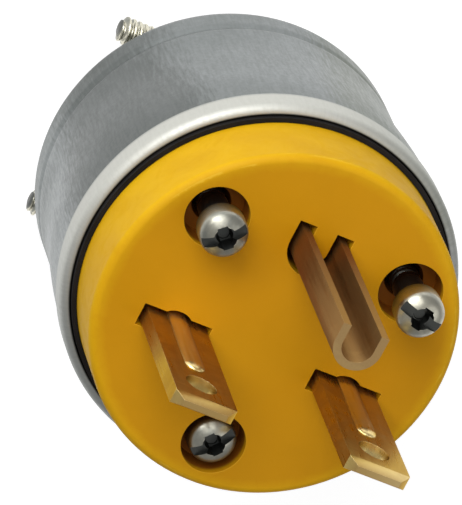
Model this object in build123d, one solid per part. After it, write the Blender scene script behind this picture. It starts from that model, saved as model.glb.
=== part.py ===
from build123d import *
import os
from math import asin, cos, degrees, hypot, radians, sin, sqrt

# Three-pin plug: two flat blades in one line and a folded ground pin, in a drawn steel shell with a
# cord grip. Millimetres. It stands on the cord grip with the pins up: Z runs along the pins, X along
# the line of the blades and Y towards the ground pin. The origin is on the shell's axis, level with
# the grip's lower edge.

os.makedirs("parts", exist_ok=True)

# Pins
blade_spacing = 18.26
blade_width = 6.35
blade_thickness = 1.5
blade_reach = 17.7
blade_line_y = -3.57
blade_corner = 0.9
blade_bevel = 0.45
blade_bevel_length = 1.0
blade_hole_diameter = 3.2
blade_hole_inset = 4.0
blade_rib_width = 2.1
blade_rib_height = 0.45
blade_rib_gap = 1.3
blade_groove_depth = 0.35
ground_offset = 11.91
ground_width = 4.75
ground_depth = 4.1
ground_sheet = 0.8
ground_reach = 20.5

# Hidden ends of the pins
shoulder_width = 8.6
shoulder_height = 3.6
tail_width = 5.4
blade_tab_length = 5.0
ground_tab_length = 5.35

# Steel shell, drawn round what it holds
shell_wall = 0.7
shell_shoulder = 1.6
flare_step = 0.8
flare_length = 13.0
flare_rise = 1.0
bead_proud = 0.3
bead_length = 3.1
rim_flat = 0.2
cord_hole_radius = 7.0

# Insulation inside the shell
liner_wall = 0.45
liner_proud = 0.5
disc_thickness = 0.8

# Front body
body_reach = 8.0
body_depth = 14.5
body_edge = 0.8
body_chamfer = 0.5
face_thickness = 5.0
body_wall = 2.4
tower_wall = 1.5
web_thickness = 1.4

# Rear body, which carries the terminals, and the room for wires behind it
base_thickness = 6.0
base_margin = 1.73
base_round = 0.6
barrier_height = 4.4
barrier_thickness = 1.2
chamber_height = 12.2

# Screws that hold the body to the lugs in the shell
screw_inset = 3.75
upper_screw_half_angle = 52
screw_backed_off = {"right": 6.2, "left": 5.2, "low": 0.9}
screw_diameter = 3.0
screw_point = 0.5
screw_end = 2.3
screw_head_diameter = 4.7
screw_head_height = 3.0
screw_head_dome = 0.7
screw_well_diameter = 6.3
screw_well_depth = 3.4
recess_width = 0.8
recess_length = 3.1
recess_depth = 1.1

# Lugs welded inside the shell
lug_width = 6.4
lug_sheet = 1.3
lug_collar = 1.2
lug_collar_wall = 0.9
lug_foot = 1.6

# Terminals
terminal_screw_diameter = 3.5
terminal_head_diameter = 5.9
terminal_head_height = 2.0
terminal_head_dome = 0.65
terminal_screw_length = 5.2
terminal_slot_width = 0.9
terminal_slot_depth = 0.9
clamp_plate_thickness = 0.9
clamp_plate_lip = 0.9
clamp_plate_round = 1.9
bonding_strip_thickness = 0.5
bonding_strip_width = 5.2

# Cord grip
grip_width = 7.0
grip_sheet = 1.2
grip_gap = 4.9
grip_lip = 0.9
ear_margin = 2.6
ear_round = 1.4
strap_clearance = 0.2
foot_margin = 2.7
foot_half_angle = 35
grip_screw_tuck = 0.6
grip_screw_diameter = 2.85
grip_screw_length = 19.05
grip_screw_head_diameter = 4.4
grip_screw_head_height = 2.0
grip_screw_head_dome = 0.65
grip_collar_wall = 0.8
grip_collar_length = 1.3
rivet_offset = 3.5
rivet_half_angle = 22
rivet_diameter = 2.6
rivet_head_diameter = 4.4
rivet_head_height = 1.1

# Clearances, each on one side
slot_clearance = 0.25
blade_slot_clearance = 0.4
ground_slot_clearance = 0.5
liner_clearance = 0.05
body_clearance = 0.06
base_clearance = 0.15
thread_clearance = 0.03
hole_clearance = 0.4
seat_clearance = 0.1
weld_clearance = 0.02

# Levels that follow from the sizes above, from the cord grip up
wall_z = grip_width
floor_z = wall_z + shell_wall
lug_z = floor_z + chamber_height
collar_low_z = lug_z - lug_sheet - lug_collar
base_z = lug_z + bonding_strip_thickness
seam_z = base_z + base_thickness
shoulder_z = seam_z + shoulder_height
flare_end_z = seam_z + flare_rise
flare_start_z = flare_end_z - flare_length
face_z = seam_z + body_depth
rim_z = face_z - body_reach
well_floor_z = face_z - screw_well_depth

# Places of the pins and their terminals
ground_y = blade_line_y + ground_offset
ground_back_y = ground_y - ground_depth / 2
blade_places = {"left": -blade_spacing / 2, "right": blade_spacing / 2}
terminal_radius = tail_width / 2
blade_terminal_y = blade_line_y - blade_tab_length
ground_terminal_y = ground_back_y + ground_sheet + ground_tab_length
clamp_half_width = terminal_radius + seat_clearance + clamp_plate_lip
clamp_lip_rise = ground_sheet - seat_clearance

# Radii, from the terminals outwards
terminal_circle = max(hypot(blade_spacing / 2, blade_terminal_y), ground_terminal_y)
base_radius = terminal_circle + terminal_radius + base_margin
liner_inset = shell_wall + liner_clearance
shell_radius = base_radius + base_clearance + liner_wall + liner_inset
flare_radius = shell_radius + flare_step
bead_radius = flare_radius + bead_proud
body_radius = flare_radius - liner_inset - liner_wall - body_clearance

# Long screws: all of one length, which still holds where one is backed off the most
screw_circle = base_radius - screw_inset
screw_angles = {"right": 90 - upper_screw_half_angle, "left": 90 + upper_screw_half_angle, "low": 270}
screw_length = well_floor_z + max(screw_backed_off.values()) - collar_low_z + screw_end

# Cord grip
grip_bore_radius = cord_hole_radius + strap_clearance
grip_outer_radius = grip_bore_radius + grip_sheet
grip_screw_y = grip_outer_radius + grip_screw_head_diameter / 2 - grip_screw_tuck
grip_collar_diameter = grip_screw_diameter + 2 * grip_collar_wall
grip_screw_drop = max(grip_screw_head_diameter, grip_collar_diameter) / 2 + seat_clearance
grip_screw_z = wall_z - grip_screw_drop
ear_reach = grip_screw_y + ear_margin
rivet_circle = grip_outer_radius + rivet_offset
foot_radius = rivet_circle + foot_margin


def revolved(outline):
    """Solid turned about the Z axis from an outline whose points are (radius, height)."""
    return revolve(Plane.XZ * make_face(outline), Axis.Z)


def rod(diameter, low, high, x=0.0, y=0.0):
    """Upright cylinder between two heights."""
    height = high - low
    return Pos(x, y, low) * Cylinder(diameter / 2, height, align=(Align.CENTER, Align.CENTER, Align.MIN))


def block(x_span, y_span, z_span):
    """Box between two values on each axis."""
    low, high = zip(x_span, y_span, z_span)
    size = [b - a for a, b in zip(low, high)]
    return Pos(*low) * Box(*size, align=(Align.MIN, Align.MIN, Align.MIN))


def distance_from_axis(edge):
    """Distance of an edge's middle from the Z axis, rounded so that equal ones group together."""
    middle = edge.center()
    return round(sqrt(middle.X ** 2 + middle.Y ** 2), 3)


def on_circle(radius, angle):
    """Point on a circle about the axis, with the angle in degrees from +X."""
    return radius * cos(radians(angle)), radius * sin(radians(angle))


def flared_solid(inset, low, high, corner=0.0):
    """Solid with the form of the shell's outer face, moved in by inset, between two heights."""
    rear = shell_radius - inset
    front = flare_radius - inset
    start = (rear, flare_start_z)
    end = (front, flare_end_z)
    outline = Line((0, low), (rear - corner, low))
    if corner:
        outline += JernArc((rear - corner, low), (1, 0), corner, 90)
    outline += Line((rear, low + corner), start)
    outline += Spline(start, end, tangents=((0, 1), (0, 1)))
    outline += Polyline(end, (front, high), (0, high), (0, low))
    return revolved(outline)


def rim_bead():
    """Rolled bead round the mouth of the shell."""
    mouth = flare_radius - shell_wall
    low = rim_z - bead_length
    rim_round = shell_wall + bead_proud - rim_flat
    outline = Line((mouth, low), (flare_radius, low))
    outline += JernArc((flare_radius, low), (1, 0), bead_proud, 90)
    outline += Line((bead_radius, low + bead_proud), (bead_radius, rim_z - rim_round))
    outline += JernArc((bead_radius, rim_z - rim_round), (0, 1), rim_round, 90)
    outline += Polyline((mouth + rim_flat, rim_z), (mouth, rim_z), (mouth, low))
    return revolved(outline)


def rivet_places():
    return [on_circle(rivet_circle, 180 + turn) for turn in (-rivet_half_angle, rivet_half_angle)]


def steel_shell():
    """Drawn cup with a rounded shoulder, a flared side, a beaded rim and a round cord hole."""
    cup = flared_solid(0, wall_z, rim_z, shell_shoulder) + rim_bead()
    cup -= flared_solid(shell_wall, floor_z, rim_z, shell_shoulder - shell_wall)
    cup -= rod(2 * cord_hole_radius, wall_z, floor_z)
    for x, y in rivet_places():
        cup -= rod(rivet_diameter + 2 * seat_clearance, wall_z, floor_z, x, y)
    return cup


def insulating_liner():
    """Fibre sleeve inside the shell, notched where the lugs pass; its front edge shows as a black ring."""
    low = floor_z + disc_thickness + seat_clearance
    high = rim_z + liner_proud
    sleeve = flared_solid(liner_inset, low, high) - flared_solid(liner_inset + liner_wall, low, high)
    notch_width = lug_width + 2 * hole_clearance
    notch = block((base_radius - 2 * lug_sheet, shell_radius), (-notch_width / 2, notch_width / 2),
                  (low, base_z + hole_clearance))
    for angle in screw_angles.values():
        sleeve -= Rot(0, 0, angle) * notch
    return sleeve


def insulating_disc():
    """Fibre washer on the floor of the shell, holed for the cord and over the rivets' inner ends."""
    radius = shell_radius - shell_shoulder - seat_clearance
    disc = rod(2 * radius, floor_z, floor_z + disc_thickness)
    disc -= rod(2 * (cord_hole_radius + slot_clearance), floor_z, floor_z + disc_thickness)
    for x, y in rivet_places():
        disc -= rod(rivet_head_diameter + 2 * hole_clearance, floor_z, floor_z + disc_thickness, x, y)
    return disc


def ground_outline(clearance):
    """Section of the folded ground pin: a sheet bent to a U that opens towards +Y."""
    outer = ground_width / 2 + clearance
    inner = ground_width / 2 - ground_sheet - clearance
    centre_y = ground_back_y + ground_width / 2
    end_y = ground_back_y + ground_depth + clearance
    outline = Polyline((-outer, centre_y), (-outer, end_y), (-inner, end_y), (-inner, centre_y))
    outline += ThreePointArc((-inner, centre_y), (0, centre_y - inner), (inner, centre_y))
    outline += Polyline((inner, centre_y), (inner, end_y), (outer, end_y), (outer, centre_y))
    outline += ThreePointArc((outer, centre_y), (0, centre_y - outer), (-outer, centre_y))
    return make_face(outline)


def blade_rib(face_y, height, low, high):
    """Long pressed ridge with a round end, centred on one flat side of a blade."""
    radius = blade_rib_width / 2
    ridge = Pos(0, face_y, low) * extrude(Ellipse(radius, height), high - low - radius)
    return ridge + Pos(0, face_y, high - radius) * scale(Sphere(radius), (1, height / radius, 1))


def slot_outline(x):
    """Slot in the face for a blade, with the bump that lets its rib through."""
    width = blade_width + 2 * blade_slot_clearance
    height = blade_thickness + 2 * blade_slot_clearance
    slot = Pos(x, blade_line_y) * Rectangle(width, height)
    bump = Ellipse(blade_rib_width / 2 + blade_slot_clearance, blade_rib_height + blade_slot_clearance)
    return slot + Pos(x, blade_line_y + blade_thickness / 2) * bump


def shoulder_pocket(x, y, thickness):
    """Pocket behind the face that traps the wide shoulder of a pin."""
    half = shoulder_width / 2 + slot_clearance
    depth = thickness / 2 + slot_clearance
    return block((x - half, x + half), (y - depth, y + depth), (seam_z, shoulder_z))


def front_body():
    """Moulded front: a thick face on a skirt, cored out behind round towers for the pins and screws."""
    body = rod(2 * body_radius, seam_z, face_z)
    body = fillet(body.edges().sort_by(Axis.Z)[-1], body_edge)
    body = chamfer(body.edges().group_by(Axis.Z)[0], body_chamfer)
    core_top = face_z - face_thickness
    core = rod(2 * (body_radius - body_wall), seam_z, core_top)
    tower_half = shoulder_width / 2 + slot_clearance + tower_wall
    tower_depth = blade_thickness / 2 + blade_rib_height + slot_clearance + tower_wall
    for x in blade_places.values():
        core -= block((x - tower_half, x + tower_half),
                      (blade_line_y - tower_depth, blade_line_y + tower_depth), (seam_z, core_top))
    ground_top_y = ground_back_y + ground_depth + slot_clearance + tower_wall
    core -= block((-tower_half, tower_half), (ground_back_y - slot_clearance - tower_wall, ground_top_y),
                  (seam_z, core_top))
    for angle in screw_angles.values():
        x, y = on_circle(screw_circle, angle)
        core -= rod(screw_well_diameter + 2 * tower_wall, seam_z, core_top, x, y)
    half_web = web_thickness / 2
    core -= block((-body_radius, body_radius), (blade_line_y - half_web, blade_line_y + half_web),
                  (seam_z, core_top))
    core -= block((-half_web, half_web), (-body_radius, body_radius), (seam_z, core_top))
    body -= core
    for x in blade_places.values():
        body -= Pos(0, 0, shoulder_z) * extrude(slot_outline(x), face_z - shoulder_z)
        body -= shoulder_pocket(x, blade_line_y, blade_thickness)
    body -= Pos(0, 0, shoulder_z) * extrude(ground_outline(ground_slot_clearance), face_z - shoulder_z)
    body -= shoulder_pocket(0, ground_back_y + ground_sheet / 2, ground_sheet)
    body -= Pos(0, 0, seam_z) * extrude(ground_outline(slot_clearance), shoulder_height)
    for angle in screw_angles.values():
        x, y = on_circle(screw_circle, angle)
        body -= rod(screw_diameter + 2 * hole_clearance, seam_z, face_z, x, y)
        body -= rod(screw_well_diameter, well_floor_z, face_z, x, y)
    return body


def barriers():
    """Walls behind the base, one across between the ground and the blades and one at each side of the
    low lug, with room left for the lugs and the wire clamps."""
    low = base_z - barrier_height
    high = base_z + base_round
    half = barrier_thickness / 2
    cross_y = (blade_line_y + ground_back_y) / 2
    side_x = (lug_width / 2 + blade_spacing / 2 - clamp_half_width) / 2
    walls = block((-base_radius, base_radius), (cross_y - half, cross_y + half), (low, high))
    for x in (-side_x, side_x):
        walls += block((x - half, x + half), (-base_radius, cross_y), (low, high))
    clamp_room = clamp_half_width + hole_clearance
    tab_room = terminal_radius + hole_clearance
    for x, y in terminal_places().values():
        walls -= block((x - clamp_room, x + clamp_room), (y - tab_room, y + tab_room), (low, base_z))
    lug_room = lug_width / 2 + hole_clearance
    room = block((screw_circle - lug_room, base_radius), (-lug_room, lug_room), (low, base_z))
    for angle in screw_angles.values():
        walls -= Rot(0, 0, angle) * room
    return walls & rod(2 * (base_radius - base_round), low, high)


def rear_body():
    """Moulded base behind the front body: slots for the tails, pads on the lugs and barrier walls."""
    body = rod(2 * base_radius, base_z, seam_z)
    body = fillet(body.edges().group_by(Axis.Z)[0], base_round)
    body += barriers()
    for name in ("left", "low"):
        x, y = on_circle(screw_circle, screw_angles[name])
        body += rod(lug_width, lug_z, base_z, x, y) & rod(2 * base_radius, lug_z, base_z)
    for angle in screw_angles.values():
        x, y = on_circle(screw_circle, angle)
        body -= rod(screw_diameter + 2 * hole_clearance, lug_z, seam_z, x, y)
    half_tail = tail_width / 2 + slot_clearance
    tails = [(x, blade_line_y, blade_thickness) for x in blade_places.values()]
    tails.append((0, ground_back_y + ground_sheet / 2, ground_sheet))
    for x, y, thickness in tails:
        depth = thickness / 2 + slot_clearance
        body -= block((x - half_tail, x + half_tail), (y - depth, y + depth), (base_z, seam_z))
    for name, (x, y) in terminal_places().items():
        pit_top = terminal_seat(name) + terminal_screw_length + hole_clearance
        body -= rod(terminal_screw_diameter + 2 * hole_clearance, base_z, pit_top, x, y)
    return body


def terminal_places():
    places = {"blade_" + name: (x, blade_terminal_y) for name, x in blade_places.items()}
    places["ground"] = (0, ground_terminal_y)
    return places


def bent_tail(thickness, near_y, direction, tab_top, tab_centre_y):
    """Flat tail of a pin, bent square behind the base and rounded off about its terminal screw."""
    far_y = near_y + direction * thickness
    low_y, high_y = sorted((near_y, far_y))
    upright = block((-tail_width / 2, tail_width / 2), (low_y, high_y), (tab_top - thickness, seam_z))
    tab_low, tab_high = sorted((near_y, tab_centre_y))
    tab = block((-tail_width / 2, tail_width / 2), (tab_low, tab_high), (tab_top - thickness, tab_top))
    tab += rod(2 * terminal_radius, tab_top - thickness, tab_top, 0, tab_centre_y)
    tail = upright + tab
    outer_bend = tail.edges().filter_by(Axis.X).group_by(Axis.Z)[0]
    tail = fillet(outer_bend, thickness)
    bore = rod(terminal_screw_diameter + 2 * thread_clearance, tab_top - thickness, tab_top, 0, tab_centre_y)
    return tail - bore


def blade():
    """Flat blade with an embossed rib, a hole, a bevelled tip, a shoulder and a bent tail, at x = 0."""
    tip_z = face_z + blade_reach
    half = blade_width / 2
    half_thick = blade_thickness / 2
    outline = Polyline((-half, shoulder_z), (-half, tip_z - blade_corner), (blade_corner - half, tip_z),
                       (half - blade_corner, tip_z), (half, tip_z - blade_corner), (half, shoulder_z),
                       close=True)
    front = Plane.XZ.offset(-blade_line_y) * make_face(outline)
    flat = extrude(front, half_thick, both=True)
    taper = Polyline((-half_thick, shoulder_z), (-half_thick, tip_z - blade_bevel_length),
                     (blade_bevel - half_thick, tip_z), (half_thick - blade_bevel, tip_z),
                     (half_thick, tip_z - blade_bevel_length), (half_thick, shoulder_z), close=True)
    side = Pos(0, blade_line_y, 0) * (Plane.YZ * make_face(taper))
    flat &= extrude(side, blade_width, both=True)
    hole_z = tip_z - blade_hole_inset
    rib_end_z = hole_z - blade_hole_diameter / 2 - blade_rib_gap
    flat += blade_rib(blade_line_y + half_thick, blade_rib_height, shoulder_z, rib_end_z)
    flat -= blade_rib(blade_line_y - half_thick, blade_groove_depth, shoulder_z, rib_end_z)
    hole = Rot(90, 0, 0) * Cylinder(blade_hole_diameter / 2, 2 * blade_thickness)
    flat -= Pos(0, blade_line_y, hole_z) * hole
    shoulder = block((-shoulder_width / 2, shoulder_width / 2),
                     (blade_line_y - half_thick, blade_line_y + half_thick), (seam_z, shoulder_z))
    tail = bent_tail(blade_thickness, blade_line_y + half_thick, -1, base_z, blade_terminal_y)
    return flat + shoulder + tail


def ground_pin():
    """Ground pin folded from one sheet: a U-shaped pin, a flat shoulder and a tail bent outwards."""
    pin = Pos(0, 0, seam_z) * extrude(ground_outline(0), face_z + ground_reach - seam_z)
    shoulder = block((-shoulder_width / 2, shoulder_width / 2), (ground_back_y, ground_back_y + ground_sheet),
                     (seam_z, shoulder_z))
    tail = bent_tail(ground_sheet, ground_back_y, 1, lug_z, ground_terminal_y)
    return pin + shoulder + tail


def dome_arc(radius, base, rise):
    """Arc from the axis to the edge of a dome that stands on the height base."""
    ball = (radius ** 2 + rise ** 2) / (2 * abs(rise))
    turn = degrees(asin(radius / ball))
    return JernArc((0, base + rise), (1, 0), ball, -turn if rise > 0 else turn)


def slotted_screw(head_diameter, head_height, dome, shank_diameter, length, slot_width, slot_depth):
    """Screw seated at z = 0 with its head above: a domed head with a straight slot, and a plain shank."""
    head = head_diameter / 2
    shank = shank_diameter / 2
    outline = dome_arc(head, head_height - dome, dome)
    outline += Polyline((head, head_height - dome), (head, 0), (shank, 0), (shank, screw_point - length),
                        (shank - screw_point, -length), (0, -length), (0, head_height))
    slot = block((-head, head), (-slot_width / 2, slot_width / 2), (head_height - slot_depth, head_height))
    return revolved(outline) - slot


def assembly_screw(name):
    """Long screw from the face of the plug to a lug, backed off as far as the real one stands."""
    x, y = on_circle(screw_circle, screw_angles[name])
    seat = well_floor_z + screw_backed_off[name]
    screw = slotted_screw(screw_head_diameter, screw_head_height, screw_head_dome, screw_diameter,
                          screw_length, recess_width, recess_depth)
    cross = block((-recess_width / 2, recess_width / 2), (-recess_length / 2, recess_length / 2),
                  (screw_head_height - 2 * recess_depth, screw_head_height))
    return Pos(x, y, seat) * (screw - cross)


def shell_lug(name):
    """Bent steel lug welded inside the shell, with a tapped collar for its screw."""
    outer = shell_radius - shell_wall - weld_clearance
    inner = screw_circle - lug_width / 2
    half = lug_width / 2
    shelf = block((screw_circle, outer), (-half, half), (lug_z - lug_sheet, lug_z))
    shelf += rod(lug_width, lug_z - lug_sheet, lug_z, screw_circle)
    leg_low = floor_z + lug_foot
    leg = block((inner, outer), (-half, half), (leg_low, lug_z))
    leg &= rod(2 * outer, leg_low, lug_z) - rod(2 * (outer - lug_sheet), leg_low, lug_z)
    shelf &= rod(2 * outer, lug_z - lug_sheet, lug_z)
    collar = rod(screw_diameter + 2 * lug_collar_wall, collar_low_z, lug_z, screw_circle)
    bore = rod(screw_diameter + 2 * thread_clearance, collar_low_z, lug_z, screw_circle)
    return Rot(0, 0, screw_angles[name]) * (shelf + leg + collar - bore)


def terminal_tab_underside(name):
    """Height of the lower face of a terminal's tab."""
    if name == "ground":
        return lug_z - ground_sheet
    return base_z - blade_thickness


def terminal_seat(name):
    """Height at which the head of a terminal's screw bears on the clamp plate."""
    return terminal_tab_underside(name) - clamp_plate_thickness


def wire_clamp(name):
    """Small saddle plate under a terminal screw, with lips on both sides of the tab."""
    x, y = terminal_places()[name]
    low = terminal_seat(name)
    top = terminal_tab_underside(name)
    half = clamp_half_width
    plate = block((-half, half), (-terminal_radius, terminal_radius), (low, top))
    for side in (-1, 1):
        lip_span = sorted((side * half, side * (half - clamp_plate_lip)))
        plate += block(lip_span, (-terminal_radius, terminal_radius), (top, top + clamp_lip_rise))
    plate = fillet(plate.edges().filter_by(Axis.Z).group_by(distance_from_axis)[-1], clamp_plate_round)
    bore = rod(terminal_screw_diameter + 2 * seat_clearance, low, top)
    return Pos(x, y, 0) * (plate - bore)


def terminal_screw(name):
    """Binding screw that holds a wire under the saddle plate; its slot looks to the rear."""
    x, y = terminal_places()[name]
    screw = slotted_screw(terminal_head_diameter, terminal_head_height, terminal_head_dome,
                          terminal_screw_diameter, terminal_screw_length, terminal_slot_width,
                          terminal_slot_depth)
    return Pos(x, y, terminal_seat(name)) * Rot(180, 0, 0) * screw


def bonding_strip():
    """Thin strip from the ground terminal to the lug at its right, which earths the steel shell."""
    ends = [(0, ground_terminal_y), on_circle(screw_circle, screw_angles["right"])]
    eyes = [Pos(*end) * Circle(bonding_strip_width / 2) for end in ends]
    band = make_hull(eyes[0].edges() + eyes[1].edges())
    strip = Pos(0, 0, lug_z) * extrude(band, bonding_strip_thickness)
    strip -= rod(terminal_screw_diameter + 2 * seat_clearance, lug_z, base_z, *ends[0])
    strip -= rod(screw_diameter + 2 * seat_clearance, lug_z, base_z, *ends[1])
    return strip


def grip_jaw(top):
    """One jaw of the cord grip, at +X: a half-round band with a rounded lip and two flat ears."""
    inner = grip_bore_radius
    outer = grip_outer_radius
    lip = grip_lip
    outline = Polyline((inner + lip, 0), (outer + lip, 0), (outer + lip, lip), (outer, 2 * lip),
                       (outer, top), (inner, top), (inner, lip))
    outline += JernArc((inner, lip), (0, -1), lip, 90)
    jaw = revolved(outline) & block((grip_gap / 2, outer + lip), (-outer - lip, outer + lip), (0, top))
    middle = (inner + outer) / 2
    root = sqrt(middle ** 2 - (grip_gap / 2) ** 2)
    ear_half = grip_screw_drop - strap_clearance
    for side in (-1, 1):
        ear = block((grip_gap / 2, grip_gap / 2 + grip_sheet), sorted((side * root, side * ear_reach)),
                    (grip_screw_z - ear_half, grip_screw_z + ear_half))
        ear_corners = ear.edges().filter_by(Axis.X).sort_by(Axis.Y)
        ear = fillet(ear_corners[:2] if side < 0 else ear_corners[-2:], ear_round)
        jaw += ear
    return jaw


def grip_screw_line(diameter, near_x, far_x, side):
    """Cylinder along X on the line of one grip screw."""
    length = far_x - near_x
    middle = (near_x + far_x) / 2
    return Pos(middle, side * grip_screw_y, grip_screw_z) * Rot(0, 90, 0) * Cylinder(diameter / 2, length)


def grip_strap():
    """Loose jaw of the cord grip, with plain holes for its screws; it stops short of the shell."""
    jaw = grip_jaw(wall_z - strap_clearance)
    near_x = grip_gap / 2
    for side in (-1, 1):
        jaw -= grip_screw_line(grip_screw_diameter + 2 * seat_clearance, near_x, near_x + grip_sheet, side)
    return jaw


def grip_saddle():
    """Fixed jaw at -X: the same band with a foot riveted to the shell and a tapped collar on each ear."""
    saddle = mirror(grip_jaw(wall_z), about=Plane.YZ)
    middle = (grip_bore_radius + foot_radius) / 2
    width = foot_radius - grip_bore_radius
    section = Plane.XZ * Pos(middle, wall_z - grip_sheet / 2) * Rectangle(width, grip_sheet)
    foot = Rot(0, 0, 180 - foot_half_angle) * revolve(section, Axis.Z, 2 * foot_half_angle)
    saddle += foot
    for x, y in rivet_places():
        saddle -= rod(rivet_diameter + 2 * thread_clearance, wall_z - grip_sheet, wall_z, x, y)
    ear_x = -grip_gap / 2
    collar_x = ear_x - grip_sheet - grip_collar_length
    for side in (-1, 1):
        saddle += grip_screw_line(grip_collar_diameter, collar_x, ear_x, side)
        saddle -= grip_screw_line(grip_screw_diameter + 2 * thread_clearance, collar_x, ear_x, side)
    return saddle


def grip_screw(side):
    """Screw that draws the strap to the saddle; its threaded end stands out at -X."""
    seat_x = grip_gap / 2 + grip_sheet
    screw = slotted_screw(grip_screw_head_diameter, grip_screw_head_height, grip_screw_head_dome,
                          grip_screw_diameter, grip_screw_length, terminal_slot_width, terminal_slot_depth)
    return Pos(seat_x, side * grip_screw_y, grip_screw_z) * Rot(0, 90, 0) * screw


def foot_rivet(x, y):
    """Rivet through the saddle's foot and the shell, with a domed head outside and a flat one inside."""
    radius = rivet_head_diameter / 2
    half = rivet_diameter / 2
    foot_z = wall_z - grip_sheet
    inside_z = floor_z + disc_thickness
    outline = dome_arc(radius, foot_z, -rivet_head_height)
    outline += Polyline((radius, foot_z), (half, foot_z), (half, floor_z), (radius, floor_z),
                        (radius, inside_z), (0, inside_z), (0, foot_z - rivet_head_height))
    return Pos(x, y, 0) * revolved(outline)


def save(name, piece):
    export_step(piece, f"parts/{name}.step")


save("steel_shell", steel_shell())
save("insulating_liner", insulating_liner())
save("insulating_disc", insulating_disc())
save("front_body", front_body())
save("rear_body", rear_body())
save("ground_pin", ground_pin())
save("bonding_strip", bonding_strip())
save("grip_saddle", grip_saddle())
save("grip_strap", grip_strap())
for place, blade_x in blade_places.items():
    save(f"blade_{place}", Pos(blade_x, 0, 0) * blade())
for place in screw_angles:
    save(f"assembly_screw_{place}", assembly_screw(place))
    save(f"shell_lug_{place}", shell_lug(place))
for place in terminal_places():
    save(f"terminal_screw_{place}", terminal_screw(place))
    save(f"wire_clamp_{place}", wire_clamp(place))
for place, y_side in {"upper": 1, "lower": -1}.items():
    save(f"grip_screw_{place}", grip_screw(y_side))
for number, (rivet_x, rivet_y) in enumerate(rivet_places(), start=1):
    save(f"foot_rivet_{number}", foot_rivet(rivet_x, rivet_y))
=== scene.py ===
from math import cos, pi, radians, sin

import bmesh
import bpy
from bpy.props import FloatProperty, FloatVectorProperty, IntProperty, PointerProperty
from mathutils import Matrix, Vector


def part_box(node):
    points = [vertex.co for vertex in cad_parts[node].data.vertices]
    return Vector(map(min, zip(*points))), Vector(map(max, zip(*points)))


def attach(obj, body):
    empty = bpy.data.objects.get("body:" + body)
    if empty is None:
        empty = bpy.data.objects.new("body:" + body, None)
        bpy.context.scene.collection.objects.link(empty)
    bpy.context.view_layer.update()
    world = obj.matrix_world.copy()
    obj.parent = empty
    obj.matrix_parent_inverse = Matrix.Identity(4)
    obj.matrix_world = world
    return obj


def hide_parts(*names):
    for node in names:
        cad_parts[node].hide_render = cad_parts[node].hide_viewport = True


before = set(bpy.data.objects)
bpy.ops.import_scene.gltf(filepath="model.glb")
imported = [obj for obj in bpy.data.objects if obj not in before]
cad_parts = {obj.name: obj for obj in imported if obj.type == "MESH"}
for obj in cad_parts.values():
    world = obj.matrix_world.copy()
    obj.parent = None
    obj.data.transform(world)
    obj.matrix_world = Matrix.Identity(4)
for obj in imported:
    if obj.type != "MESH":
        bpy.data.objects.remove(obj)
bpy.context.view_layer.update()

bl_info = {
    "name": "Three-pin plug",
    "version": (1, 0, 0),
    "blender": (4, 5, 0),
    "location": "3D View > Sidebar > Plug",
    "description": "Dresses the solids of a steel-clad plug with turned, threaded and edge-rounded pieces",
    "category": "Object",
}

MM = 0.001
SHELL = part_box("steel_shell")
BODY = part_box("front_body")
BLADE_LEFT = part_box("blade_left")
BLADE_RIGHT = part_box("blade_right")
GROUND_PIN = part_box("ground_pin")

# Height of the rolled bead in millimetres, down from the shell's rim
BEAD_HEIGHT = 3.3
# Points closer than this are joined
WELD = 0.0005 * MM
# Faces wider than this are no rounded edge, and an edge that turns by this angle wears most
BROAD_FACE = 0.18 * MM
SHARP_TURN = radians(25)

# Tones that no property holds
# Painted shade in screw recesses, under screw heads, on shanks and on screw ends
PAINTED_SHADE_ON_METAL = (0.024, 0.029, 0.033)
# Painted shade on the inside of the shell's rim
RIM_PAINTED_SHADE = (0.02, 0.018, 0.015)
# Painted shade on the side of the shell that faces +Y
SHELL_PAINTED_SHADE = (0.14, 0.155, 0.115)
BRASS_GLANCING = (0.28, 0.13, 0.01, 1.0)
NYLON_WORN = (0.85, 0.56, 0.05)
NYLON_SCRATCHED = (0.85, 0.55, 0.10)
INSULATION_RUBBED = (0.05, 0.046, 0.042)
GREEN_DARK = (0.01, 0.06, 0.02)
GREEN_RUBBED = (0.2, 0.4, 0.2)
WHITE = (1.0, 1.0, 1.0, 1.0)

# Half the floor's side, how white it is to the camera, and how much of the white room metal shows
FLOOR_HALF = 3.0
FLOOR_GLOW = 0.76
ROOM_IN_METAL = 0.25
# Lamps: name, place, diameter, and the property with the power
LAMP_TARGET = (0.0, 0.0, 0.03)
LAMPS = (
    ("Key lamp", (-0.50, 0.46, 0.33), 0.62, "key"),
    ("Upper lamp", (-0.30, 0.36, 0.68), 0.6, "upper"),
    ("Fill lamp", (0.45, 0.05, 0.60), 0.6, "fill"),
)
# Camera as it was fitted to the view in the photograph
CAMERA_PLACE = (-0.20659, 0.19397, 0.56976)
CAMERA_RIGHT = (0.87786, 0.44742, 0.17082)
CAMERA_BACK = (-0.33409, 0.31655, 0.8878)


def length(text, value, note):
    """Length property in metres, with its default in millimetres."""
    return FloatProperty(name=text, description=note, default=value * MM, min=0.0, unit="LENGTH", precision=5)


def share(text, value, note):
    return FloatProperty(name=text, description=note, default=value, min=0.0, max=1.0, subtype="FACTOR")


def power(text, value, note):
    return FloatProperty(name=text, description=note, default=value, min=0.0, unit="POWER")


def colour(text, value, note):
    return FloatVectorProperty(name=text, description=note, default=value, min=0.0, max=1.0, subtype="COLOR")


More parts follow.
